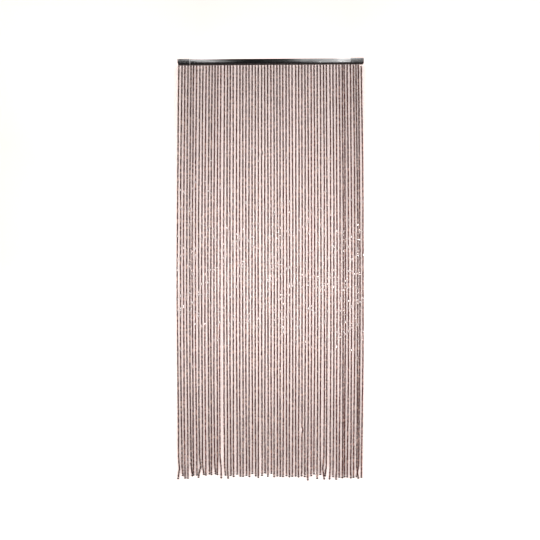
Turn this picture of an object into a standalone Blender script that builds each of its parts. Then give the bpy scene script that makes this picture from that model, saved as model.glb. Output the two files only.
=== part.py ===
"""Beaded string curtain for a doorway, on a black head rail. Metres, +Z up, +X to the right seen
from the front, -Y to the front. The origin is the middle of the rail's flat back, on the wall.

The rail is a C channel, open below. A heading strip lies on its two lips, and 61 threads hang from
the strip through the mouth between them. Each thread is full of small beads and ends in one loose
bead a little lower. The strip and its strings are one comb. A cover clips over each rail end."""

import math

import bmesh
import bpy

LENGTH = 0.900  # over both end covers

# Head rail: a C channel with a flat back, a rounded upper front and a mouth below
RAIL_HEIGHT = 0.026
RAIL_DEPTH = 0.020
RAIL_WALL = 0.002
BROW_RADIUS = 0.011
CHIN_RADIUS = 0.003
MOUTH_WIDTH = 0.006
MOUTH_Y = -0.010
ARC_STEPS = 6

# End covers: front, top and lower front walls round the rail, and a plate over its end
COVER_LENGTH = 0.062
COVER_WALL = 0.0014
LEFT_PLATE = 0.003
RIGHT_PLATE = 0.008
LEFT_CORNER_RADIUS = 0.009
RIGHT_CORNER_RADIUS = 0.002
CUTTER_DEPTH = 0.1  # far past the rail at its front and back
CUTTER_REACH = 0.002  # past the corner that it cuts off

GAP = 0.0003  # between pieces that touch

# Heading strip inside the rail
STRIP_THICKNESS = 0.003
STRIP_WIDTH = 0.014

# The row of strings
STRINGS = 61
FIRST_X = -0.444
PITCH = 0.01484
BOW = 0.008  # how far the outermost strings swing outwards at half height
SWAY = 0.0007
DEPTH_SWAY = 0.0015
SWAY_TURNS = (4.3, 9.7)  # waves of the two sways along a string
GOLDEN = 0.618034
SETTLE = 0.05  # the sway grows from nothing over this length below the rail

# One string, from the rail's underside down
DROP = 2.000  # to the tip of a usual string
BEAD_RADIUS = 0.0040
THREAD_RADIUS = 0.0010
FIRST_BEAD = 0.003
LAST_FIRST_BEAD = 0.012  # the string at the right end starts lower
TIP_BEAD_RADIUS = 0.0030
TIP_BEAD_LENGTH = 0.006
TIP_GAP = 0.004
FOOT_REACH = 0.110  # a string wanders from its line over this last stretch
BELLY_HEIGHT = 0.055  # where a foot bends most, above the tip
BODY_SHARES = (0.0, 0.25, 0.5, 0.75)
NECK = 0.001  # over which the thread widens to the first bead
FOOT_SCATTER = 0.003  # how much the other strings' lengths vary, up and down
FOOT_TURN = 2.4  # of that variation's wave from one string to the next, in radians

# Uneven gaps in the row: the string on their left, and what each adds to the pitch (mm)
UNEVEN_GAPS = (
    # left string, at the rail, at half height, at the foot
    (4, -1.0, 0.0, 0.0),
    (5, -1.5, -3.0, -2.0),
    (7, 1.0, 1.0, -1.0),
    (10, 1.0, 0.0, 3.0),
    (11, -1.0, -1.5, -4.5),
    (12, -1.0, 0.0, 0.0),
    (14, -1.5, -0.5, -4.0),
    (15, 3.0, 3.0, 8.0),
    (17, -2.0, 0.0, 0.0),
    (19, 2.5, 1.5, 1.5),
    (27, 1.0, 2.0, 1.5),
    (33, -1.0, -1.0, -1.0),
    (38, 2.5, 0.0, 0.0),
    (47, 1.5, 1.5, 3.5),
    (48, -2.5, -1.5, -4.0),
    (49, 3.0, 2.0, 4.0),
    (54, -5.5, -5.0, -5.5),
    (58, -2.5, -0.5, 0.0),
    (59, -3.5, -5.0, -6.0),
)

# Strings whose foot leaves their line (mm)
STRAY_FEET = (
    # string, longer by, belly to the right, tip to the right, tip to the back
    (1, 15, 3, -4, 0),
    (2, 0, 0, 4, 0),
    (3, 12, 0, 0, 0),
    (4, 12, 0, 0, 0),
    (5, 0, 0, 6, -3),
    (6, -2, 0, -1, 3),
    (8, 7, 4, -7, -2),
    (9, -6, 0, 6, 2),
    (11, -9, 0, 0, 0),
    (12, -6, 0, 0, 0),
    (13, -10, 0, 4, 0),
    (14, -6, 0, -1, 0),
    (15, 10, 5, 6, 0),
    (16, -4, 0, 4, 0),
    (17, 11, 0, 3, 0),
    (20, -9, 0, 0, 0),
    (25, -13, 0, 0, 0),
    (27, 7, 0, -1, 0),
    (29, -16, 0, 0, 0),
    (31, -14, 0, 0, 0),
    (43, 17, 0, 1, 0),
    (45, -12, 0, 0, 0),
    (46, 9, 0, 1, 0),
    (47, -10, 0, 0, 0),
    (48, 11, -5, 3, -4),
    (49, -2, 0, -5, 4),
    (50, 11, 0, -3, 0),
    (52, 13, 0, -1, 0),
    (54, 5, 0, -1, 0),
    (57, 6, 0, 1, 0),
    (59, 5, 0, 9, -6),
    (60, 0, -1, -10, 5.5),
)

UNDERSIDE = -RAIL_HEIGHT / 2
MM = 0.001


def clear_scene():
    for obj in list(bpy.data.objects):
        bpy.data.objects.remove(obj)


def new_collection(name):
    collection = bpy.data.collections.new(name)
    bpy.context.scene.collection.children.link(collection)
    return collection


def finish(name, colour, roughness):
    """A material with the piece's own colour and gloss."""
    material = bpy.data.materials.new(name)
    material.use_nodes = True
    shader = material.node_tree.nodes["Principled BSDF"]
    shader.inputs["Base Color"].default_value = (*colour, 1.0)
    shader.inputs["Roughness"].default_value = roughness
    return material


def arc(centre, radius, start, end):
    """Points of an arc in the (Y, Z) plane, from one angle to the other in degrees."""
    return [
        (
            centre[0] + radius * math.cos(math.radians(start + (end - start) * i / ARC_STEPS)),
            centre[1] + radius * math.sin(math.radians(start + (end - start) * i / ARC_STEPS)),
        )
        for i in range(ARC_STEPS + 1)
    ]


def front_line(inset):
    """The rail's outline from its top over the front to its underside, as (Y, Z), set in by a distance."""
    front = -RAIL_DEPTH + inset
    top = RAIL_HEIGHT / 2 - inset
    brow = BROW_RADIUS - inset
    chin = CHIN_RADIUS - inset
    return arc((front + brow, top - brow), brow, 90, 180) + arc((front + chin, -top + chin), chin, 180, 270)


def mesh_object(name, mesh, collection):
    obj = bpy.data.objects.new(name, mesh)
    collection.objects.link(obj)
    return obj


def meshed(curve_object, name, collection):
    """The curve object as a mesh object of one closed body, in its place."""
    bpy.context.view_layer.update()
    graph = bpy.context.evaluated_depsgraph_get()
    mesh = bpy.data.meshes.new_from_object(curve_object.evaluated_get(graph))
    mesh.name = name
    shape = bmesh.new()
    shape.from_mesh(mesh)
    bmesh.ops.remove_doubles(shape, verts=shape.verts, dist=1e-6)
    bmesh.ops.recalc_face_normals(shape, faces=shape.faces)
    shape.to_mesh(mesh)
    shape.free()
    obj = mesh_object(name, mesh, collection)
    obj.matrix_world = curve_object.matrix_world
    curve = curve_object.data
    bpy.data.objects.remove(curve_object)
    bpy.data.curves.remove(curve)
    return obj


def extruded(name, outline, thickness, location, rotation, collection):
    """A flat outline made thickness deep, half to each side of its own plane."""
    curve = bpy.data.curves.new(name + "_outline", "CURVE")
    curve.dimensions = "2D"
    curve.fill_mode = "BOTH"
    curve.extrude = thickness / 2
    spline = curve.splines.new("POLY")
    spline.points.add(len(outline) - 1)
    for point, (u, v) in zip(spline.points, outline, strict=True):
        point.co = (u, v, 0, 1)
    spline.use_cyclic_u = True
    guide = bpy.data.objects.new(name + "_outline", curve)
    collection.objects.link(guide)
    guide.location = location
    guide.rotation_euler = rotation
    return meshed(guide, name, collection)


def along_rail(name, outline, start, end, collection):
    """A (Y, Z) outline carried along the rail from one X to another."""
    turn = (math.pi / 2, 0, math.pi / 2)
    return extruded(name, outline, end - start, ((start + end) / 2, 0, 0), turn, collection)


def boolean(obj, other, operation):
    modifier = obj.modifiers.new(operation.lower(), "BOOLEAN")
    modifier.operation = operation
    modifier.solver = "EXACT"
    modifier.object = other
    other.hide_render = True
    other.display_type = "WIRE"


def head_rail(parts):
    """The C channel: the outer line forwards, the lips' mouth, and the inner line back."""
    half = RAIL_HEIGHT / 2
    lip_top = -half + RAIL_WALL
    outline = [(0, half)] + front_line(0)
    outline += [(MOUTH_Y - MOUTH_WIDTH / 2, -half), (MOUTH_Y - MOUTH_WIDTH / 2, lip_top)]
    outline += list(reversed(front_line(RAIL_WALL)))
    outline += [(-RAIL_WALL, half - RAIL_WALL), (-RAIL_WALL, lip_top)]
    outline += [(MOUTH_Y + MOUTH_WIDTH / 2, lip_top), (MOUTH_Y + MOUTH_WIDTH / 2, -half), (0, -half)]
    start = -LENGTH / 2 + LEFT_PLATE + GAP
    end = LENGTH / 2 - RIGHT_PLATE - GAP
    rail = along_rail("head_rail", outline, start, end, parts)
    rail.data.materials.append(finish("black_gloss_rail", (0.012, 0.013, 0.013), 0.22))


def cover_section():
    """Walls over the rail's top, front and lower front, open at the back and at the mouth."""
    outer = front_line(-GAP - COVER_WALL)
    inner = front_line(-GAP)
    edge_y = MOUTH_Y - MOUTH_WIDTH / 2
    outline = [(0, outer[0][1])] + outer + [(edge_y, outer[-1][1]), (edge_y, inner[-1][1])]
    return outline + list(reversed(inner)) + [(0, inner[0][1])]


def corner_cutter(name, side, radius, cutters):
    """What rounds a cover's lower outer corner, seen from the front: the corner outside a quarter circle."""
    foot = -RAIL_HEIGHT / 2 - GAP - COVER_WALL
    centre = (side * (LENGTH / 2 - radius), foot + radius)
    outline = [
        (
            centre[0] + side * radius * math.sin(math.radians(90 * i / ARC_STEPS)),
            centre[1] - radius * math.cos(math.radians(90 * i / ARC_STEPS)),
        )
        for i in range(ARC_STEPS + 1)
    ]
    past_end, past_foot = side * (LENGTH / 2 + CUTTER_REACH), foot - CUTTER_REACH
    outline += [(past_end, centre[1]), (past_end, past_foot), (centre[0], past_foot)]
    turn = (math.pi / 2, 0, 0)
    return extruded(name, outline, CUTTER_DEPTH, (0, 0, 0), turn, cutters)


def end_cover(name, side, plate, radius, parts, cutters):
    """A cover of thin walls with a plate over the rail's end; side is -1 at the left and 1 at the right."""
    section = cover_section()
    outer_end = side * LENGTH / 2
    walls = sorted((outer_end, outer_end - side * COVER_LENGTH))
    cover = along_rail(name, section, walls[0], walls[1], parts)
    plate_outline = [(0, section[0][1])] + front_line(-GAP - COVER_WALL)
    plate_outline += [(0, -RAIL_HEIGHT / 2 - GAP - COVER_WALL)]
    ends = sorted((outer_end, outer_end - side * plate))
    boolean(cover, along_rail(name + "_plate", plate_outline, ends[0], ends[1], cutters), "UNION")
    boolean(cover, corner_cutter(name + "_corner", side, radius, cutters), "DIFFERENCE")
    cover.data.materials.append(finish(name + "_black", (0.018, 0.018, 0.018), 0.42))


def between(heights, values, height):
    """The value at a height, by straight lines between the given heights."""
    for i in range(len(heights) - 1):
        if height <= heights[i + 1]:
            share = (height - heights[i]) / (heights[i + 1] - heights[i])
            return values[i] + share * (values[i + 1] - values[i])
    return values[-1]


def foot_of(number):
    """(longer by, belly, tip aside, tip back) of a string, in metres."""
    for row in STRAY_FEET:
        if row[0] == number:
            return [value * MM for value in row[1:]]
    return [FOOT_SCATTER * math.sin(FOOT_TURN * number), 0.0, 0.0, 0.0]


def string_place(number, down):
    """(X, Y) of a string at a distance below the rail: its even place in the row, what the uneven
    gaps to its left add, the bow of the row, two slow sways, and the way its foot strays."""
    longer, belly, aside, back = foot_of(number)
    share = min(down / DROP, 1.0)
    x = FIRST_X + PITCH * (number - 1)
    for left, rail, middle, foot in UNEVEN_GAPS:
        if number > left:
            x += between((0, 0.5, 1), (rail, middle, foot), share) * MM
    centred = (number - (STRINGS + 1) / 2) / ((STRINGS - 1) / 2)
    x += BOW * centred * math.sin(math.pi * share)
    grown = min(down / SETTLE, 1.0)
    phase = 2 * math.pi * GOLDEN * number
    x += SWAY * grown * math.sin(SWAY_TURNS[0] * math.pi * share + phase)
    y = MOUTH_Y + DEPTH_SWAY * grown * math.sin(SWAY_TURNS[1] * math.pi * share + 2.0 * phase)
    above_tip = DROP + longer - down
    if above_tip < FOOT_REACH:
        x += between((0, BELLY_HEIGHT, FOOT_REACH), (aside, belly, 0), max(above_tip, 0))
        y += between((0, FOOT_REACH), (back, 0), max(above_tip, 0))
    return x, y


def string_stations(number):
    """(distance below the rail, radius) down one string: thread, beads, thread and tip bead."""
    length = DROP + foot_of(number)[0]
    first = LAST_FIRST_BEAD if number == STRINGS else FIRST_BEAD
    last = length - TIP_BEAD_LENGTH - TIP_GAP
    strip_middle = -(RAIL_WALL + GAP + STRIP_THICKNESS / 2)
    stations = [(strip_middle, THREAD_RADIUS), (first - NECK, THREAD_RADIUS)]
    stations += [(first + share * (length - first), BEAD_RADIUS) for share in BODY_SHARES]
    stations += [(down, BEAD_RADIUS) for down in (length - FOOT_REACH, length - BELLY_HEIGHT, last)]
    stations += [(last + TIP_GAP / 2, THREAD_RADIUS)]
    return stations + [(last + TIP_GAP, TIP_BEAD_RADIUS), (length, TIP_BEAD_RADIUS)]


def strings_mesh(cutters):
    """All the strings as six-sided tubes, each an open line with its own radius at every station."""
    curve = bpy.data.curves.new("strings_lines", "CURVE")
    curve.dimensions = "3D"
    curve.bevel_depth = BEAD_RADIUS
    curve.bevel_resolution = 1
    curve.use_fill_caps = True
    for number in range(1, STRINGS + 1):
        stations = string_stations(number)
        spline = curve.splines.new("POLY")
        spline.points.add(len(stations) - 1)
        for point, (down, radius) in zip(spline.points, stations, strict=True):
            x, y = string_place(number, max(down, 0))
            point.co = (x, y, UNDERSIDE - down, 1)
            point.radius = radius / BEAD_RADIUS
    guide = bpy.data.objects.new("strings_lines", curve)
    cutters.objects.link(guide)
    return meshed(guide, "strings", cutters)


def bead_strings(parts, cutters):
    """The comb: the heading strip with every string joined to it."""
    start = -LENGTH / 2 + LEFT_PLATE + 2 * GAP
    end = LENGTH / 2 - RIGHT_PLATE - 2 * GAP
    shape = bmesh.new()
    bmesh.ops.create_cube(shape, size=1.0)
    bmesh.ops.scale(shape, vec=(end - start, STRIP_WIDTH, STRIP_THICKNESS), verts=shape.verts)
    middle = UNDERSIDE + RAIL_WALL + GAP + STRIP_THICKNESS / 2
    bmesh.ops.translate(shape, vec=((start + end) / 2, MOUTH_Y, middle), verts=shape.verts)
    mesh = bpy.data.meshes.new("bead_strings")
    shape.to_mesh(mesh)
    shape.free()
    comb = mesh_object("bead_strings", mesh, parts)
    boolean(comb, strings_mesh(cutters), "UNION")
    comb.data.materials.append(finish("dark_brown_beads", (0.06, 0.03, 0.025), 0.25))


def build():
    clear_scene()
    parts = new_collection("beaded_string_curtain")
    cutters = new_collection("cutters")
    head_rail(parts)
    end_cover("end_cover_left", -1, LEFT_PLATE, LEFT_CORNER_RADIUS, parts, cutters)
    end_cover("end_cover_right", 1, RIGHT_PLATE, RIGHT_CORNER_RADIUS, parts, cutters)
    bead_strings(parts, cutters)
    cutters.hide_render = True


build()
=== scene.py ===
"""A beaded string curtain for a doorway: 61 strings of small lacquered wooden beads that hang from
a heading strip inside a black head rail with a moulded cover over each end.

Metres, +Z up, +X to the right and -Y to the front. The sections follow the curtain as it is put
together, after the camera: rail, end covers, heading strip, threads, beads, then the studio."""

import math

import bpy
import numpy as np
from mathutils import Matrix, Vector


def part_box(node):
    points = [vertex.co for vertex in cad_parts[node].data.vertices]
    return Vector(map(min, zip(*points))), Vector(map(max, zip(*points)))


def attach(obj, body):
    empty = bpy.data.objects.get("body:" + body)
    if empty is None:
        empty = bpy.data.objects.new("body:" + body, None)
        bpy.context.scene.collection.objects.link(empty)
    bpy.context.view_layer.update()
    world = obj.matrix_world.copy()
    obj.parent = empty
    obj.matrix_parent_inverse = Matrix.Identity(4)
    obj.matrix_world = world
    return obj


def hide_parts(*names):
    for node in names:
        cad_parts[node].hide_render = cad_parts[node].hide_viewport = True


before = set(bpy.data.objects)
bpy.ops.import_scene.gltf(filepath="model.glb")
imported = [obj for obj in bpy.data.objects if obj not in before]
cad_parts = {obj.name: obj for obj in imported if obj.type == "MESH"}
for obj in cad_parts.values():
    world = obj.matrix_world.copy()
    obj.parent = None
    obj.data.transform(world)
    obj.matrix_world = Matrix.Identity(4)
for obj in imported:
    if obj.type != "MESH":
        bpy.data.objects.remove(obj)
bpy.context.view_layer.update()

# ---------------------------------------------------------------------------------------- camera
# It stands four metres in front of the strings, level with their middle, and a step to the right of
# it, so that the right end is a little nearer.
CAMERA_AWAY = 4.0
SEEN_WIDTH = 2.614  # of the picture, at the strings
SENSOR = 36.0
LINE_OF_STRINGS = -0.010  # Y of the rail's mouth, where the threads come out
LOOKED_AT = (-0.002, LINE_OF_STRINGS, -1.0098)
CAMERA_TURN = math.radians(1.5)  # to the left

camera_data = bpy.data.cameras.new("camera")
camera_data.sensor_width = SENSOR
camera_data.lens = SENSOR * CAMERA_AWAY / SEEN_WIDTH
camera = bpy.data.objects.new("camera", camera_data)
bpy.context.scene.collection.objects.link(camera)
camera.location = (
    LOOKED_AT[0] + CAMERA_AWAY * math.sin(CAMERA_TURN),
    LOOKED_AT[1] - CAMERA_AWAY * math.cos(CAMERA_TURN),
    LOOKED_AT[2],
)
camera.rotation_euler = (math.radians(90), 0, CAMERA_TURN)
bpy.context.scene.camera = camera
bpy.context.scene.view_settings.view_transform = "Standard"

# ------------------------------------------------------------------------------------- head rail
# A black plastic extrusion, 26 mm high and 20 mm deep, with a flat back for the wall, a large
# radius over its upper front and a mouth along its underside. Polished dies leave it glossy, with
# faint lines along its length.
rail_low, rail_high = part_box("head_rail")
RAIL_WALL = 0.002
MOUTH_WIDTH = 0.006
BROW_RADIUS = 0.011
CHIN_RADIUS = 0.003
ARC_POINTS = 12
EDGE = 0.0004  # radius of the rail's small edges
RAIL_STATIONS = 40
CROWN_RADIUS = 0.2  # the face isn't quite flat
CROWN_HEIGHT = -0.004  # where it stands out most
CROWN_SLOPE = math.tan(math.radians(1.5))
# A pale vertical stroke low on the face is a painted highlight, where a crease catches the light.
CREASE_HIGHLIGHT_X, CREASE_HIGHLIGHT_Z = (0.2395, 0.2435), (-0.012, -0.005)
# A grey band low on the face near the right end is a painted reflection.
LOW_REFLECTION_X, LOW_REFLECTION_Z = (0.335, 0.425), (-0.0058, -0.0036)
RAIL_BLACK = (0.004, 0.0045, 0.0045, 1)
RAIL_SOFT_BLACK = (0.009, 0.0095, 0.0095, 1)
RAIL_DUST = (0.12, 0.115, 0.11, 1)
RAIL_PAINTED_HIGHLIGHT = (0.55, 0.54, 0.53, 1)  # pale paint, for a painted highlight on a crease and a painted reflection low on the face


def rounded_outline(corners, steps=ARC_POINTS):
    """A closed outline whose corners (y, z, radius) are arcs. The arc's centre lies on the corner's
    bisector, radius / sin(half the corner's angle) away, and the arc turns from the foot of the
    perpendicular on one side to that on the other."""
    corners = np.asarray(corners, float)
    at, radius = corners[:, :2], corners[:, 2:]
    before, after = np.roll(at, 1, 0) - at, np.roll(at, -1, 0) - at
    before /= np.linalg.norm(before, axis=1, keepdims=True)
    after /= np.linalg.norm(after, axis=1, keepdims=True)
    half = np.arccos(np.clip((before * after).sum(1, keepdims=True), -1, 1)) / 2
    bisector = before + after
    bisector /= np.linalg.norm(bisector, axis=1, keepdims=True)
    centre = at + bisector * radius / np.sin(half)
    first = at + before * radius / np.tan(half) - centre
    last = at + after * radius / np.tan(half) - centre
    start = np.arctan2(first[:, 1], first[:, 0])[:, None]
    turn = np.arctan2(last[:, 1], last[:, 0])[:, None] - start
    turn = (turn + np.pi) % (2 * np.pi) - np.pi
    angle = start + turn * np.linspace(0, 1, steps)
    return np.stack(
        [centre[:, :1] + radius * np.cos(angle), centre[:, 1:] + radius * np.sin(angle)], 2
    ).reshape(-1, 2)


def mesh_piece(name, points, faces, rings=None, corners_uv=None):
    """A smooth mesh object from points (n, 3) and arrays of faces, one array for each number of
    corners. Edges between two points of the same ring number are sharp. corners_uv lays the faces
    out flat."""
    mesh = bpy.data.meshes.new(name)
    corners = np.concatenate([f.ravel() for f in faces])
    sizes = np.concatenate([np.full(len(f), f.shape[1]) for f in faces])
    mesh.vertices.add(len(points))
    mesh.vertices.foreach_set("co", np.asarray(points, np.float32).ravel())
    mesh.loops.add(len(corners))
    mesh.loops.foreach_set("vertex_index", corners.astype(np.int32))
    mesh.polygons.add(len(sizes))
    starts = np.concatenate([[0], np.cumsum(sizes)[:-1]])
    mesh.polygons.foreach_set("loop_start", starts.astype(np.int32))
    mesh.update(calc_edges=True)
    mesh.polygons.foreach_set("use_smooth", np.ones(len(sizes), bool))
    if rings is not None:
        ends = np.empty(len(mesh.edges) * 2, np.int32)
        mesh.edges.foreach_get("vertices", ends)
        ends = rings[ends.reshape(-1, 2)]
        sharp = mesh.attributes.new("sharp_edge", "BOOLEAN", "EDGE")
        sharp.data.foreach_set("value", ends[:, 0] == ends[:, 1])
    if corners_uv is not None:
        layer = mesh.uv_layers.new(name="OFBake", do_init=False)
        layer.uv.foreach_set("vector", corners_uv.astype(np.float32).ravel())
    mesh.validate()
    piece = bpy.data.objects.new(name, mesh)
    bpy.context.scene.collection.objects.link(piece)
    return piece


def carried_along(name, outline, stations, shape=lambda x, y, z: (x, y, z)):
    """A closed (y, z) outline carried along X through the stations, closed at both ends: point
    (i, j) is the outline's j-th point at the i-th station, moved by shape."""
    x, y = np.meshgrid(stations, outline[:, 0], indexing="ij")
    z = np.broadcast_to(outline[:, 1], x.shape)
    points = np.stack(shape(x, y, z), 2).reshape(-1, 3)
    rows, around = x.shape
    i, j = np.meshgrid(np.arange(rows - 1), np.arange(around), indexing="ij")
    here, there = i * around + j, i * around + (j + 1) % around
    sides = np.stack([here, there, there + around, here + around], 2).reshape(-1, 4)
    ends = np.stack([np.arange(around)[::-1], np.arange(around) + (rows - 1) * around])
    return mesh_piece(name, points, [sides, ends])


class Value:
    """What a node puts out. Sums, differences and products of it add Math nodes."""

    def __init__(self, finish, socket):
        self.finish = finish
        self.socket = socket

    def reckon(self, operation, first, second):
        sockets = {0: first, 1: second}
        return self.finish.node("ShaderNodeMath", {"operation": operation}, sockets)

    def __add__(self, other):
        return self.reckon("ADD", self, other)

    def __mul__(self, other):
        return self.reckon("MULTIPLY", self, other)

    def __sub__(self, other):
        return self.reckon("SUBTRACT", self, other)

    def __rsub__(self, other):
        return self.reckon("SUBTRACT", other, self)

    __radd__ = __add__
    __rmul__ = __mul__


class Finish:
    """A material whose Principled shader is fed by nodes."""

    def __init__(self, name, **constants):
        self.material = bpy.data.materials.new(name)
        self.material.use_nodes = True
        self.tree = self.material.node_tree
        self.shader = self.tree.nodes["Principled BSDF"]
        for socket, value in constants.items():
            self.feed(self.shader, socket.replace("_", " "), value)

    def feed(self, node, socket, value):
        """Sets a socket to a number or colour, or links it to a Value."""
        if isinstance(value, Value):
            self.tree.links.new(value.socket, node.inputs[socket])
        else:
            node.inputs[socket].default_value = value

    def node(self, kind, settings, sockets, output=0):
        """Adds a node, sets its settings and then its sockets, and gives one of its outputs."""
        node = self.tree.nodes.new(kind)
        for name, value in settings.items():
            setattr(node, name, value)
        for socket, value in sockets.items():
            self.feed(node, socket, value)
        return Value(self, node.outputs[output])

    def place(self, stretch=(1, 1, 1)):
        """Object coordinates, stretched along each axis."""
        where = self.node("ShaderNodeTexCoord", {}, {}, "Object")
        return self.node("ShaderNodeMapping", {}, {"Vector": where, "Scale": stretch})

    def noise(self, scale, stretch=(1, 1, 1), detail=4):
        """Noise from 0 to 1 over the piece, finer as scale grows, and drawn out into lines along an
        axis whose stretch is small."""
        sockets = {"Vector": self.place(stretch), "Scale": scale, "Detail": detail}
        sockets["Roughness"] = 0.55
        return self.node("ShaderNodeTexNoise", {"noise_dimensions": "3D"}, sockets)

    def steps(self, value, low, high):
        """0 where value is low and 1 where it is high, even between them and held beyond."""
        return self.node("ShaderNodeMapRange", {"clamp": True}, {0: value, 1: low, 2: high})

    def window(self, axis, span, edge):
        """1 where X, Y or Z (axis 0, 1 or 2) is within the span, 0 past a soft edge."""
        low, high = span
        where = self.node("ShaderNodeSeparateXYZ", {}, {0: self.place()}, axis)
        return self.steps(where, low - edge, low) * self.steps(where, high + edge, high)

    def blend(self, share, first, second):
        """A colour between two, by share."""
        return self.node("ShaderNodeMix", {"data_type": "RGBA"}, {0: share, 6: first, 7: second}, 2)

    def bump(self, height, distance, strength=1.0):
        sockets = {"Height": height, "Distance": distance, "Strength": strength}
        self.feed(self.shader, "Normal", self.node("ShaderNodeBump", {}, sockets))


def crowned(face, half, out):
    """Corners of the brow, the crown and the chin of a face that falls back evenly from its crown,
    by CROWN_SLOPE times the height above or below it. Radii are larger by out."""
    fall = CROWN_SLOPE * (half - CROWN_HEIGHT)
    return (
        (face + fall, half, BROW_RADIUS + out),
        (face, CROWN_HEIGHT, CROWN_RADIUS),
        (face + CROWN_SLOPE * (half + CROWN_HEIGHT), -half, CHIN_RADIUS + out),
    )


half_height = (rail_high.z - rail_low.z) / 2
front = rail_low.y
inner = half_height - RAIL_WALL
mouth_front = LINE_OF_STRINGS - MOUTH_WIDTH / 2
mouth_back = LINE_OF_STRINGS + MOUTH_WIDTH / 2
rail_corners = [
    (0, half_height, EDGE),
    *crowned(front, half_height, 0),
    (mouth_front, -half_height, EDGE),
    (mouth_front, -inner, EDGE),
    (front + RAIL_WALL, -inner, CHIN_RADIUS - RAIL_WALL),
    (front + RAIL_WALL, inner, BROW_RADIUS - RAIL_WALL),
    (-RAIL_WALL, inner, EDGE),
    (-RAIL_WALL, -inner, EDGE),
    (mouth_back, -inner, EDGE),
    (mouth_back, -half_height, EDGE),
    (0, -half_height, EDGE),
]
rail_stations = np.linspace(rail_low.x, rail_high.x, RAIL_STATIONS)
rail = carried_along("head_rail_extrusion", rounded_outline(rail_corners), rail_stations)

gloss = Finish("black_gloss_extrusion", Coat_Roughness=0.04, IOR=1.46)
die_lines = gloss.noise(900, (0.004, 1, 1), 3)
clouds = gloss.noise(14, (0.5, 1, 1), 3)
dust = gloss.steps(gloss.noise(2200, detail=1), 0.68, 0.78)
rubbed = gloss.steps(clouds, 0.35, 0.75)
polished = gloss.blend(clouds, RAIL_BLACK, RAIL_SOFT_BLACK)
dusty = gloss.blend(dust * 0.12, polished, RAIL_DUST)
# Pale paint on the face: a painted highlight on a crease, and a painted reflection in a band low on
# the face near the right end.
painted_crease_highlight = gloss.window(0, CREASE_HIGHLIGHT_X, 0.001) * gloss.window(2, CREASE_HIGHLIGHT_Z, 0.001)
painted_low_reflection = gloss.window(0, LOW_REFLECTION_X, 0.006) * gloss.window(2, LOW_REFLECTION_Z, 0.0006)
gloss.feed(gloss.shader, "Base Color", gloss.blend(painted_crease_highlight * 0.5 + painted_low_reflection * 0.4, dusty, RAIL_PAINTED_HIGHLIGHT))
gloss.feed(gloss.shader, "Roughness", 0.10 + rubbed * 0.08 + dust * 0.15)
gloss.feed(gloss.shader, "Coat Weight", 0.4 - rubbed * 0.3)
gloss.bump(die_lines * 0.5 + clouds * 2, 0.00008)
rail.data.materials.append(gloss.material)
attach(rail, "root")
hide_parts("head_rail")

# ------------------------------------------------------------------------------------ end covers
# Injection-moulded black covers, 1.4 mm thick, that clip over the rail's ends round its top, front
# and lower front, with a plate over the end. The left one has a large lower corner. Their satin
# face is brushed by handling.
COVER_WALL = 0.0014
CLIP_GAP = 0.0003
LEFT_PLATE = 0.003
RIGHT_PLATE = 0.008
LEFT_CORNER = 0.009
RIGHT_CORNER = 0.002
COVER_BEVEL = 0.0005
BEVELLED_FROM = math.radians(50)  # angle between the faces at an edge
COVER_STATIONS = 7  # along the straight part
CORNER_STATIONS = 14
PAST = 0.01  # of the cutter for the rail's room
RIM_HIGHLIGHT_X = (-0.3912, -0.3875)  # of a painted highlight along the left cover's inner edge
COVER_BLACK = (0.006, 0.006, 0.0065, 1)
COVER_GREY = (0.020, 0.0195, 0.0195, 1)
COVER_HANDLED = (0.06, 0.058, 0.056, 1)
COVER_RIM_HIGHLIGHT = (0.50, 0.49, 0.48, 1)

satin = Finish("satin_black_moulding", IOR=1.45)
strokes = satin.noise(260, (0.12, 1, 1), 4)
grain = satin.noise(3500, detail=2)
worn = satin.steps(satin.noise(60, (0.4, 1, 1), 4), 0.5, 0.7)
brushed = satin.blend(strokes, COVER_BLACK, COVER_GREY)
handled = satin.blend(worn * 0.2, brushed, COVER_HANDLED)
# A pale band along the left cover's inner edge is a painted highlight, where that edge catches the
# light.
painted_rim_highlight = satin.window(0, RIM_HIGHLIGHT_X, 0.0008)
satin.feed(satin.shader, "Base Color", satin.blend(painted_rim_highlight * 0.9, handled, COVER_RIM_HIGHLIGHT))
satin.feed(satin.shader, "Roughness", 0.13 + strokes * 0.16 - worn * 0.04)
satin.bump(grain + strokes * 1.5, 0.00006)


def mesh_after_modifiers(piece):
    """Swaps the piece's mesh for what its modifiers make of it."""
    graph = bpy.context.evaluated_depsgraph_get()
    made = bpy.data.meshes.new_from_object(piece.evaluated_get(graph))
    piece.modifiers.clear()
    piece.data = made


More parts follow.
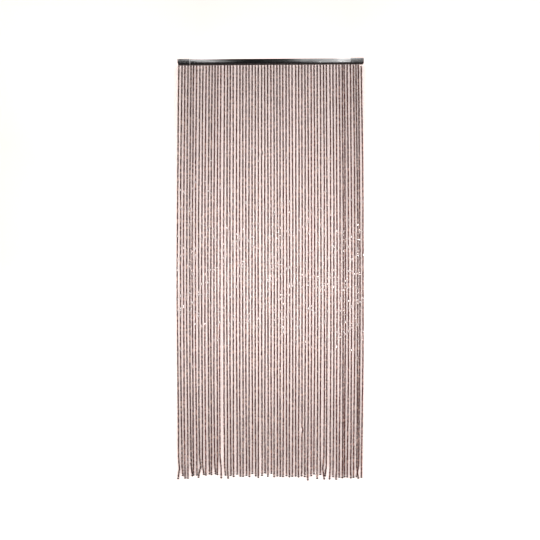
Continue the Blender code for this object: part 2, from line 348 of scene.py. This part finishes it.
def end_cover(name, node, side, plate, corner):
    """The block that the cover would fill, less the room for the rail: the block's outline is
    carried along the rail, and near the outer end its height shrinks towards the top along a
    quarter circle."""
    low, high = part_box(node)
    outer = high.x if side > 0 else low.x
    mouth = low.x if side > 0 else high.x
    top, out = high.z, COVER_WALL + CLIP_GAP
    block_corners = [(0, top, EDGE), *crowned(low.y, top, out), (0, -top, EDGE)]

    def lower_corner(x, y, z):
        reach = np.clip(corner - np.abs(outer - x), 0, corner)
        lift = corner - np.sqrt(np.maximum(corner**2 - reach**2, 0))
        return x, y, top - (top - z) * (2 * top - lift) / (2 * top)

    turned = outer - side * corner * (1 - np.sin(np.linspace(0, np.pi / 2, CORNER_STATIONS)))
    straight = np.linspace(mouth, outer - side * corner, COVER_STATIONS, endpoint=False)
    stations = np.concatenate([straight, turned])
    stations = stations if side > 0 else stations[::-1]
    cover = carried_along(name, rounded_outline(block_corners), stations, lower_corner)
    room_corners = [
        (PAST, half_height + CLIP_GAP, EDGE),
        (front - CLIP_GAP, half_height + CLIP_GAP, BROW_RADIUS + CLIP_GAP),
        (front - CLIP_GAP, -half_height - CLIP_GAP, CHIN_RADIUS + CLIP_GAP),
        (mouth_front, -half_height - CLIP_GAP, EDGE),
        (mouth_front, -top - PAST, EDGE),
        (PAST, -top - PAST, EDGE),
    ]
    ends = np.sort([mouth - side * PAST, outer - side * plate])
    room = carried_along(name + "_room", rounded_outline(room_corners), ends)
    cut = cover.modifiers.new("room", "BOOLEAN")
    cut.object, cut.operation, cut.solver = room, "DIFFERENCE", "EXACT"
    soften = cover.modifiers.new("edges", "BEVEL")
    soften.width, soften.segments, soften.limit_method = COVER_BEVEL, 2, "ANGLE"
    soften.angle_limit = BEVELLED_FROM
    soften.harden_normals = True
    bpy.context.view_layer.update()
    mesh_after_modifiers(cover)
    bpy.data.objects.remove(room)
    cover.data.materials.append(satin.material)
    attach(cover, "root")
    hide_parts(node)
    return cover


left_cover = end_cover(
    "end_cover_moulding_left", "end_cover_left", -1, LEFT_PLATE, LEFT_CORNER
)
right_cover = end_cover(
    "end_cover_moulding_right", "end_cover_right", 1, RIGHT_PLATE, RIGHT_CORNER
)

# --------------------------------------------------------------------------------- heading strip
# A stiff woven tape, 14 mm wide and 3 mm thick, that lies on the rail's two lips, with a welt that
# comes through the mouth and shows 5 mm below it. Every thread is knotted through the welt.
STRIP_WIDTH = 0.014
STRIP_THICKNESS = 0.003
STRIP_ROUNDING = 0.0007
WELT_WIDTH = 0.0036
WELT_SHOWS = 0.0048
WELT_END = 0.4475  # X of its ends
WELT_STUMP = 0.0003
WELT_STATIONS = 60
STRIP_ARC_POINTS = 5
RIBS, YARNS = 160.0, 260.0  # of the weave, along and across
TAPE_DARK = (0.024, 0.013, 0.012, 1)
TAPE_LIGHT = (0.062, 0.038, 0.034, 1)
strip_top = -inner + CLIP_GAP + STRIP_THICKNESS
strip_under = strip_top - STRIP_THICKNESS
half_strip, half_welt = STRIP_WIDTH / 2, WELT_WIDTH / 2
strip_corners = [
    (LINE_OF_STRINGS + half_strip, strip_top, STRIP_ROUNDING),
    (LINE_OF_STRINGS - half_strip, strip_top, STRIP_ROUNDING),
    (LINE_OF_STRINGS - half_strip, strip_under, STRIP_ROUNDING),
    (LINE_OF_STRINGS - half_welt, strip_under, EDGE / 4),
    (LINE_OF_STRINGS - half_welt, -half_height - WELT_SHOWS, STRIP_ROUNDING),
    (LINE_OF_STRINGS + half_welt, -half_height - WELT_SHOWS, STRIP_ROUNDING),
    (LINE_OF_STRINGS + half_welt, strip_under, EDGE / 4),
    (LINE_OF_STRINGS + half_strip, strip_under, STRIP_ROUNDING),
]
strip_stations = np.concatenate(
    [
        [rail_low.x + CLIP_GAP, -WELT_END - STRIP_ROUNDING],
        np.linspace(-WELT_END, WELT_END, WELT_STATIONS),
        [WELT_END + STRIP_ROUNDING, rail_high.x - CLIP_GAP],
    ]
)


def welt_stops(x, y, z):
    """Past the welt's ends nothing reaches lower than a stump under the strip."""
    return x, y, np.where(np.abs(x) > WELT_END, np.maximum(z, strip_under - WELT_STUMP), z)


strip_outline = rounded_outline(strip_corners, STRIP_ARC_POINTS)
strip = carried_along("heading_strip", strip_outline, strip_stations, welt_stops)

tape = Finish("dark_woven_tape", Sheen_Weight=0.2)
ribs, yarns = [
    tape.node(
        "ShaderNodeTexWave", {"bands_direction": axis}, {"Vector": tape.place(), "Scale": scale}, 1
    )
    for axis, scale in (("X", RIBS), ("Y", YARNS))
]
weave = ribs * yarns
tape.feed(tape.shader, "Base Color", tape.blend(weave, TAPE_DARK, TAPE_LIGHT))
tape.feed(tape.shader, "Roughness", 0.85 - weave * 0.15)
tape.bump(weave, 0.0003)
strip.data.materials.append(tape.material)
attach(strip, "root")
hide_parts("bead_strings")

# --------------------------------------------------------------------------------------- threads
# Clear nylon line, 1 mm thick, one for each string. It shows above the first bead and between the
# last two, and is tied in a small knot under the end bead. The lines hang a little unevenly, as
# they do once the curtain has been walked through.
STRINGS = 61
FIRST_X = -0.444
PITCH = 0.01484
BOW = 0.008  # how far the outermost strings swing outwards at half height
SWAY = 0.0007
DEPTH_SWAY = 0.0015
SWAY_TURNS = (4.3, 9.7)  # waves of the two sways along a string
GOLDEN = 0.618034
SETTLE = 0.05  # the sway grows from nothing over this length below the rail
DROP = 2.000  # to the tip of a usual string
FOOT_REACH = 0.110  # a string wanders from its line over this last stretch
BELLY_HEIGHT = 0.055  # where a foot bends most, above the tip
FOOT_SCATTER = 3.0  # by which usual strings are longer or shorter (mm)
FOOT_TURN = 2.4  # of that wave from one string to the next (radians)
THREAD_START = -0.004  # in the welt, above the rail's underside
FIRST_BEAD = 0.0055
LAST_FIRST_BEAD = 0.012  # the string at the right end starts lower
END_BEAD_LENGTH = 0.0080
KNOT_RADIUS = 0.0011
KNOT_ARC = (0.25, 0.97)  # of half a circle, from the thread to the tip
END_GAP = 0.0015  # bare thread between the last bead and the end bead
THREAD_RADIUS = 0.0005
LINE_DARK = (0.42, 0.38, 0.35, 1)
LINE_LIGHT = (0.62, 0.58, 0.54, 1)
MM = 0.001

# Uneven gaps in the row: the string on their left, and what each adds to the pitch (mm)
UNEVEN_GAPS = (
    # left string, at the rail, at half height, at the foot
    (4, -1.0, 0.0, 0.0),
    (5, -1.5, -3.0, -2.0),
    (7, 1.0, 1.0, -1.0),
    (10, 1.0, 0.0, 3.0),
    (11, -1.0, -1.5, -4.5),
    (12, -1.0, 0.0, 0.0),
    (14, -1.5, -0.5, -4.0),
    (15, 3.0, 3.0, 8.0),
    (17, -2.0, 0.0, 0.0),
    (19, 2.5, 1.5, 1.5),
    (27, 1.0, 2.0, 1.5),
    (33, -1.0, -1.0, -1.0),
    (38, 2.5, 0.0, 0.0),
    (47, 1.5, 1.5, 3.5),
    (48, -2.5, -1.5, -4.0),
    (49, 3.0, 2.0, 4.0),
    (54, -5.5, -5.0, -5.5),
    (58, -2.5, -0.5, 0.0),
    (59, -3.5, -5.0, -6.0),
)

# Strings whose foot leaves their line (mm)
STRAY_FEET = (
    # string, longer by, belly to the right, tip to the right, tip to the back
    (1, 15, 3, -4, 0),
    (2, 0, 0, 4, 0),
    (3, 12, 0, 0, 0),
    (4, 12, 0, 0, 0),
    (5, 0, 0, 6, -3),
    (6, -2, 0, -1, 3),
    (8, 7, 4, -7, -2),
    (9, -6, 0, 6, 2),
    (11, -9, 0, 0, 0),
    (12, -6, 0, 0, 0),
    (13, -10, 0, 4, 0),
    (14, -6, 0, -1, 0),
    (15, 10, 5, 6, 0),
    (16, -4, 0, 4, 0),
    (17, 11, 0, 3, 0),
    (20, -9, 0, 0, 0),
    (25, -13, 0, 0, 0),
    (27, 7, 0, -1, 0),
    (29, -16, 0, 0, 0),
    (31, -14, 0, 0, 0),
    (43, 17, 0, 1, 0),
    (45, -12, 0, 0, 0),
    (46, 9, 0, 1, 0),
    (47, -10, 0, 0, 0),
    (48, 11, -5, 3, -4),
    (49, -2, 0, -5, 4),
    (50, 11, 0, -3, 0),
    (52, 13, 0, -1, 0),
    (54, 5, 0, -1, 0),
    (57, 6, 0, 1, 0),
    (59, 5, 0, 9, -6),
    (60, 0, -1, -10, 5.5),
)

# Where single beads are knocked out of line, as string, distance below the rail (m), step (mm)
KINKS = ((28, 0.430, 3.0), (41, 1.770, 4.5), (51, 0.911, -2.0))
KINK_LENGTH = 0.010

numbers = np.arange(1, STRINGS + 1)
feet = np.zeros((STRINGS, 4))
feet[:, 0] = FOOT_SCATTER * np.sin(FOOT_TURN * numbers)
stray = np.array(STRAY_FEET)
feet[stray[:, 0].astype(int) - 1] = stray[:, 1:]
longer, belly, aside, back = feet.T * MM
lengths = DROP + longer


def string_line(string, down):
    """Points of one string at the distances down from the rail. Across: its even place in the
    row, what the uneven gaps to its left add, the row's bow, a slow wave, the way its foot strays
    and its kinks. In depth: a second wave and the foot's share."""
    number = string + 1
    share = np.clip(down / DROP, 0, 1)
    x = FIRST_X + PITCH * string + np.zeros_like(share)
    for left, rail_mm, middle_mm, foot_mm in UNEVEN_GAPS:
        if number > left:
            x += np.interp(share, (0, 0.5, 1), (rail_mm, middle_mm, foot_mm)) * MM
    x += BOW * (2 * string / (STRINGS - 1) - 1) * np.sin(np.pi * share)
    grown = np.clip(down / SETTLE, 0, 1)
    phase = 2 * np.pi * GOLDEN * number
    x += SWAY * grown * np.sin(SWAY_TURNS[0] * np.pi * share + phase)
    y = LINE_OF_STRINGS + DEPTH_SWAY * grown * np.sin(SWAY_TURNS[1] * np.pi * share + 2 * phase)
    above_tip = np.maximum(lengths[string] - down, 0)
    x += np.interp(above_tip, (0, BELLY_HEIGHT, FOOT_REACH), (aside[string], belly[string], 0))
    y += np.interp(above_tip, (0, FOOT_REACH), (back[string], 0))
    for kinked, where, step_mm in KINKS:
        if number == kinked:
            x += step_mm * MM * np.exp(-(((down - where) / KINK_LENGTH) ** 2))
    return np.stack([x, y, -half_height - down], 1)


def tube_and_knot(string, sides=6, rows=44, knot_rows=5):
    """Rings round the string's line from the strip to the end bead, then wider rings that close
    in a knot: ring i has radius r(i) and the thread's own sideways directions, X and Y."""
    tip = lengths[string]
    down = np.concatenate([[THREAD_START], np.linspace(0, tip - 2 * KNOT_RADIUS, rows)])
    arc = np.linspace(*KNOT_ARC, knot_rows) * np.pi
    knot_down = tip - KNOT_RADIUS * (1 + np.cos(arc))
    radius = np.concatenate([np.full(len(down), THREAD_RADIUS), KNOT_RADIUS * np.sin(arc)])
    line = string_line(string, np.concatenate([down, knot_down]))
    turn = np.linspace(0, 2 * np.pi, sides, endpoint=False)
    around = np.stack([np.cos(turn), -np.sin(turn), np.zeros(sides)], 1)
    return line[:, None] + radius[:, None, None] * around


tubes = np.stack([tube_and_knot(string) for string in range(STRINGS)])
many, rings, sides = tubes.shape[:3]
index = np.arange(many * rings * sides).reshape(many, rings, sides)
beside = np.roll(index, -1, 2)
walls = np.stack([index[:, :-1], beside[:, :-1], beside[:, 1:], index[:, 1:]], 3).reshape(-1, 4)
caps = np.concatenate([index[:, 0, ::-1], index[:, -1]])
threads = mesh_piece("nylon_threads", tubes.reshape(-1, 3), [walls, caps])

nylon = Finish("clear_nylon_line", Roughness=0.3, IOR=1.53, Transmission_Weight=0.3)
haze = nylon.noise(900, (1, 1, 0.2), 2)
nylon.feed(nylon.shader, "Base Color", nylon.blend(haze, LINE_DARK, LINE_LIGHT))
threads.data.materials.append(nylon.material)
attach(threads, "root")
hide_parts("bead_strings")

# ----------------------------------------------------------------------------------------- beads
# Turned wooden beads, 8 mm across and 7 mm long with straight sides and small shoulders, bored
# through, stained dark red-brown and dipped in gloss lacquer. They lie on each other down the
# string, each tipped a little, and one larger black bead hangs loose below them.
BEAD_RADIUS = 0.004
BEAD_PITCH = 0.00695
BEAD_FILL = 0.985  # of the pitch that a bead's length takes
SHOULDER = 0.20  # of the length, at each end
SHOULDER_RADIUS = 0.58  # of the bead's radius, at the very end
END_BEAD_RADIUS = 0.0044
TILT = math.radians(3.0)
JOSTLE = 0.00022
RADIUS_SPREAD = 0.035
TONE_SPREAD = 0.60
WARMTH_SPREAD = 0.15
STRING_TONE, STRING_TONE_SPREAD = 0.24, 0.10
STRING_WARMTHS, STRING_WARMTH_SPREAD = (0.22, 0.55), 0.2  # from the left string to the right
STAIN_BROWN, STAIN_RED = (0.034, 0.008, 0.005, 1), (0.066, 0.007, 0.005, 1)
PALE_BROWN, PALE_RED = (0.265, 0.168, 0.130, 1), (0.280, 0.138, 0.112, 1)
END_BEAD_BLACK = (0.012, 0.012, 0.012, 1)
BEAD_SIDES = 7
BEAD_GROUPS = 6
RING_PLACES = np.array([-0.5, -0.5 + SHOULDER, 0.5 - SHOULDER, 0.5])
RING_RADII = np.array([SHOULDER_RADIUS, 1, 1, SHOULDER_RADIUS])
RINGS = len(RING_PLACES)
SIDE_U, SIDE_V = (0.04, 0.96), (0.22, 0.96)  # of a flat cell, for a bead's side
END_ROUND = 0.08  # of a flat cell, radius of a bead's end
END_PLACES = (0.15, 0.1), (0.4, 0.1)
chance = np.random.default_rng(61)
bead_turn = np.linspace(0, 2 * np.pi, BEAD_SIDES, endpoint=False)


def bead_faces(count):
    """Corner numbers of count beads' side faces and end faces, for points that are numbered by
    bead, then ring, then side."""
    point = np.arange(count * RINGS * BEAD_SIDES).reshape(count, RINGS, BEAD_SIDES)
    next_side = np.roll(point, -1, 2)
    sides = np.stack([point[:, :-1], next_side[:, :-1], next_side[:, 1:], point[:, 1:]], 3)
    return sides.reshape(-1, 4), point[:, 0, ::-1], point[:, -1]


def bead_layout(count):
    """Flat places of the same faces' corners: one square cell a bead, with its side unrolled above
    and its two ends as small rounds below."""
    across = math.ceil(math.sqrt(count))
    cell = np.stack(np.divmod(np.arange(count), across)[::-1], 1)
    u, v = np.meshgrid(np.linspace(*SIDE_U, BEAD_SIDES + 1), np.linspace(*SIDE_V, RINGS))
    grid = np.stack([u, v], 2)
    side = np.stack([grid[:-1, :-1], grid[:-1, 1:], grid[1:, 1:], grid[1:, :-1]], 2)
    end = END_ROUND * np.stack([np.cos(bead_turn), np.sin(bead_turn)], 1)
    first_end, last_end = [end + place for place in END_PLACES]
    blocks = [side.reshape(1, -1, 2), first_end[None, ::-1], last_end[None]]
    return np.concatenate([(b + cell[:, None]).reshape(-1, 2) for b in blocks]) / across


lacquer = Finish(
    "gloss_lacquered_wood", IOR=1.5, Coat_Roughness=0.05, Coat_IOR=1.5, Specular_IOR_Level=0.2
)
tone, warmth, loose = [
    lacquer.node("ShaderNodeAttribute", {"attribute_name": name}, {}, 2)
    for name in ("tone", "warmth", "loose")
]
fibres = lacquer.noise(1300, (1, 1, 0.12), 3)
blotches = lacquer.noise(160, (1, 1, 0.6), 3)
stain = lacquer.blend(warmth, STAIN_BROWN, STAIN_RED)
pale = lacquer.blend(warmth, PALE_BROWN, PALE_RED)
wood = lacquer.blend(fibres * 0.3 + blotches * 0.2 + tone - 0.5, stain, pale)
lacquer.feed(lacquer.shader, "Base Color", lacquer.blend(loose, wood, END_BEAD_BLACK))
lacquer.feed(lacquer.shader, "Roughness", 0.35 + fibres * 0.16)
lacquer.feed(lacquer.shader, "Coat Weight", 0.8 - blotches * 0.2)
lacquer.bump(fibres, 0.00005, 0.6)

string_warmth = np.linspace(*STRING_WARMTHS, STRINGS)
string_warmth += chance.normal(0, STRING_WARMTH_SPREAD, STRINGS)
string_warmth = np.clip(string_warmth, 0, 1)
string_tone = chance.normal(STRING_TONE, STRING_TONE_SPREAD, STRINGS)


def strung_beads(string):
    """One string's beads and its end bead, one row a bead: centre (3), axis (3), length, radius,
    tone, warmth, looseness. Beads fill the line from the first bead's place to the gap above the
    end bead."""
    first = LAST_FIRST_BEAD if string == STRINGS - 1 else FIRST_BEAD
    foot = lengths[string] - 2 * KNOT_RADIUS
    last = foot - END_BEAD_LENGTH - END_GAP
    count = round((last - first) / BEAD_PITCH)
    pitch = (last - first) / count
    down = np.append(first + pitch * (np.arange(count) + 0.5), foot - END_BEAD_LENGTH / 2)
    centre = string_line(string, down)
    axis = string_line(string, down - pitch / 2) - string_line(string, down + pitch / 2)
    centre[:, :2] += chance.normal(0, JOSTLE, (count + 1, 2))
    axis /= np.linalg.norm(axis, axis=1, keepdims=True)
    axis[:, :2] += chance.normal(0, TILT, (count + 1, 2))
    axis /= np.linalg.norm(axis, axis=1, keepdims=True)
    length = np.append(np.full(count, pitch * BEAD_FILL), END_BEAD_LENGTH)
    radius = BEAD_RADIUS * chance.normal(1, RADIUS_SPREAD, count + 1)
    radius[-1] = END_BEAD_RADIUS
    tones = string_tone[string] + chance.normal(0, TONE_SPREAD, count + 1)
    warmths = string_warmth[string] + chance.normal(0, WARMTH_SPREAD, count + 1)
    looseness = np.append(np.zeros(count), 1)
    return np.column_stack(
        [centre, axis, length, radius, tones, np.clip(warmths, 0, 1), looseness]
    )


bead_pieces = []
for group, strings in enumerate(np.array_split(np.arange(STRINGS), BEAD_GROUPS)):
    beads = np.concatenate([strung_beads(string) for string in strings])
    centre, axis = beads[:, :3], beads[:, 3:6]
    length, radius, tones, warmths, looseness = beads[:, 6:].T
    sideways = np.cross(axis, (0.0, 1.0, 0.0))
    sideways /= np.linalg.norm(sideways, axis=1, keepdims=True)
    forwards = np.cross(axis, sideways)
    spin = bead_turn + chance.uniform(0, 2 * np.pi, len(beads))[:, None]
    spin = spin[:, None, :, None]
    outward = np.cos(spin) * sideways[:, None, None] + np.sin(spin) * forwards[:, None, None]
    ring = (radius[:, None] * RING_RADII)[:, :, None, None]
    height = (length[:, None] * RING_PLACES)[:, :, None, None]
    points = centre[:, None, None] + height * axis[:, None, None] + ring * outward
    ring_numbers = np.broadcast_to(np.arange(1, RINGS + 1)[None, :, None], points.shape[:3])
    piece = mesh_piece(
        f"beads_{group + 1}",
        points.reshape(-1, 3),
        bead_faces(len(beads)),
        rings=ring_numbers.ravel(),
        corners_uv=bead_layout(len(beads)),
    )
    for name, values in (("tone", tones), ("warmth", warmths), ("loose", looseness)):
        attribute = piece.data.attributes.new(name, "FLOAT", "POINT")
        values = np.repeat(values, RINGS * BEAD_SIDES).astype(np.float32)
        attribute.data.foreach_set("value", values)
    piece.data.materials.append(lacquer.material)
    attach(piece, "root")
    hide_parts("bead_strings")
    bead_pieces.append(piece)

# ---------------------------------------------------------------------------------------- studio
# Pale paper lies under the strings and sweeps up behind them. Flashes beside the camera light the
# paper past white, except where it is in the curtain's soft shade, which is what shows between the
# strings. A long low light glints on the beads at its own height, and long boxes draw the
# lights on the rail.
FLOOR_DROP = 0.28  # from the lowest bead to the paper
SWEEP_FROM = 0.5
SWEEP_RADIUS = 6.0
PAPER_FRONT = -0.8
PAPER_MARGIN = 0.25  # of the paper beyond what the flashes' wedge covers, on each side
PAPER_WEDGE = 0.36  # growth of its half width with the distance from the camera
PAPER_COLOUR = (0.30, 0.250, 0.238, 1)
FILL, SEEN_SURROUND = 0.05, 0.95  # strength of the surround, as a light and as it is seen
FLASH = (0.075, 0.02)
STRIP_AWAY, STRIP_SIZE = 4.4, (3.0, 0.12)
FRONT_BOX_PLACE, FRONT_BOX_SIZE = (0, -5.2, 0.6), (3.0, 2.0)
RAIL_BOX_Y, RAIL_BOX_Z, RAIL_BOX_LENGTH = -0.65, 1.605, 4.2
LOW_BOX_PLACE, LOW_BOX_SIZE = (0.45, -2.4, 0.54), (0.32, 0.15)
# Boxes over the rail: name, left end, right end, radiance
RAIL_BOXES = (
    ("left_box", -0.642, -0.483, 13.0),
    ("left_fade", -0.483, -0.37, 3.5),
    ("right_fade", 0.11, 0.17, 3.0),
    ("right_box", 0.17, 0.426, 8.0),
    ("bright_box", 0.426, 0.58, 15.0),
)
floor_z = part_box("bead_strings")[0].z - FLOOR_DROP
bend = np.linspace(0, np.pi / 2, 40)
sweep_y = SWEEP_FROM + SWEEP_RADIUS * np.sin(bend)
sweep_z = floor_z + SWEEP_RADIUS * (1 - np.cos(bend))
profile = np.concatenate([[(PAPER_FRONT, floor_z)], np.stack([sweep_y, sweep_z], 1)])
half_width = PAPER_MARGIN + PAPER_WEDGE * (profile[:, 0] + CAMERA_AWAY)
paper_points = [np.column_stack([side * half_width, profile]) for side in (-1, 1)]
step = np.arange(len(profile) - 1)
strips = np.stack([step, step + len(profile), step + len(profile) + 1, step + 1], 1)
sweep = mesh_piece("paper_sweep", np.concatenate(paper_points), [strips])
paper = Finish("pale_paper", Roughness=0.9, Specular_IOR_Level=0.0)
paper.feed(paper.shader, "Base Color", PAPER_COLOUR)
sweep.data.materials.append(paper.material)

world = bpy.data.worlds.new("surround")
bpy.context.scene.world = world
world.use_nodes = True
world_nodes = world.node_tree.nodes
world_nodes["Background"].inputs["Color"].default_value = (1, 1, 1, 1)
seen = world_nodes.new("ShaderNodeMapRange")
for socket, value in ((3, FILL), (4, SEEN_SURROUND)):
    seen.inputs[socket].default_value = value
path = world_nodes.new("ShaderNodeLightPath")
world.node_tree.links.new(path.outputs["Is Camera Ray"], seen.inputs[0])
world.node_tree.links.new(seen.outputs[0], world_nodes["Background"].inputs["Strength"])


def lit_together(name, pieces):
    """A collection that lights can be limited to."""
    collection = bpy.data.collections.new(name)
    for piece in pieces:
        collection.objects.link(piece)
    return collection


paper_only = lit_together("paper_only", [sweep])
rail_only = lit_together("rail_only", [rail, left_cover, right_cover])
strings_only = lit_together("strings_only", [strip, threads, *bead_pieces])
hanging = lit_together("hanging", [threads, *bead_pieces])


def soft_box(name, centre, size, target, radiance, only, spread=180, shaded_by=None):
    """An even rectangular light of this size that faces the target and shines with this radiance,
    within a cone of this spread (degrees), on the pieces of one collection only."""
    light = bpy.data.lights.new(name, "AREA")
    light.shape = "RECTANGLE"
    light.size, light.size_y = size
    light.energy = radiance * size[0] * size[1] * math.pi
    light.spread = math.radians(spread)
    lamp = bpy.data.objects.new(name, light)
    bpy.context.scene.collection.objects.link(lamp)
    lamp.location = centre
    direction = np.array(target, float) - centre
    level = math.hypot(direction[0], direction[1])
    tip, turn = math.atan2(level, -direction[2]), math.atan2(-direction[0], direction[1])
    lamp.rotation_euler = (tip, 0, turn)
    lamp.visible_camera = False
    lamp.light_linking.receiver_collection = only
    if shaded_by:
        lamp.light_linking.blocker_collection = shaded_by


def flash(name, right, up, strength, spread):
    """A small light at the camera, turned right and up from straight ahead (degrees)."""
    eye = tuple(camera.location)
    right, up = math.radians(right), math.radians(up)
    target = (eye[0] + math.sin(right), eye[1] + math.cos(right), eye[2] + math.tan(up))
    radiance = strength / (FLASH[0] * FLASH[1])
    soft_box(name, eye, FLASH, target, radiance, paper_only, spread, hanging)


flash("paper_flash", -1, 8, 550, 100)
flash("middle_flash", -1, 0, 9, 34)
for side, name in ((-1, "left"), (1, "right")):
    flash(f"{name}_low_flash", 22 * side - 1, -6, 14, 30)
    flash(f"{name}_high_flash", 23 * side - 1, 17, 28, 34)
soft_box("front_box", FRONT_BOX_PLACE, FRONT_BOX_SIZE, (0, 0, -0.3), 0.5, strings_only, 60)
level = LOOKED_AT[2]
soft_box("low_strip", (0, -STRIP_AWAY, level), STRIP_SIZE, (0, 0, level), 22.0, strings_only, 40)
for name, left, right, radiance in RAIL_BOXES:
    middle = (left + right) / 2
    size = (right - left, RAIL_BOX_LENGTH)
    soft_box(name, (middle, RAIL_BOX_Y, RAIL_BOX_Z), size, (middle, 0.2, 0), radiance, rail_only)
soft_box("right_low_box", LOW_BOX_PLACE, LOW_BOX_SIZE, (LOW_BOX_PLACE[0], 0, 0), 9.0, rail_only)
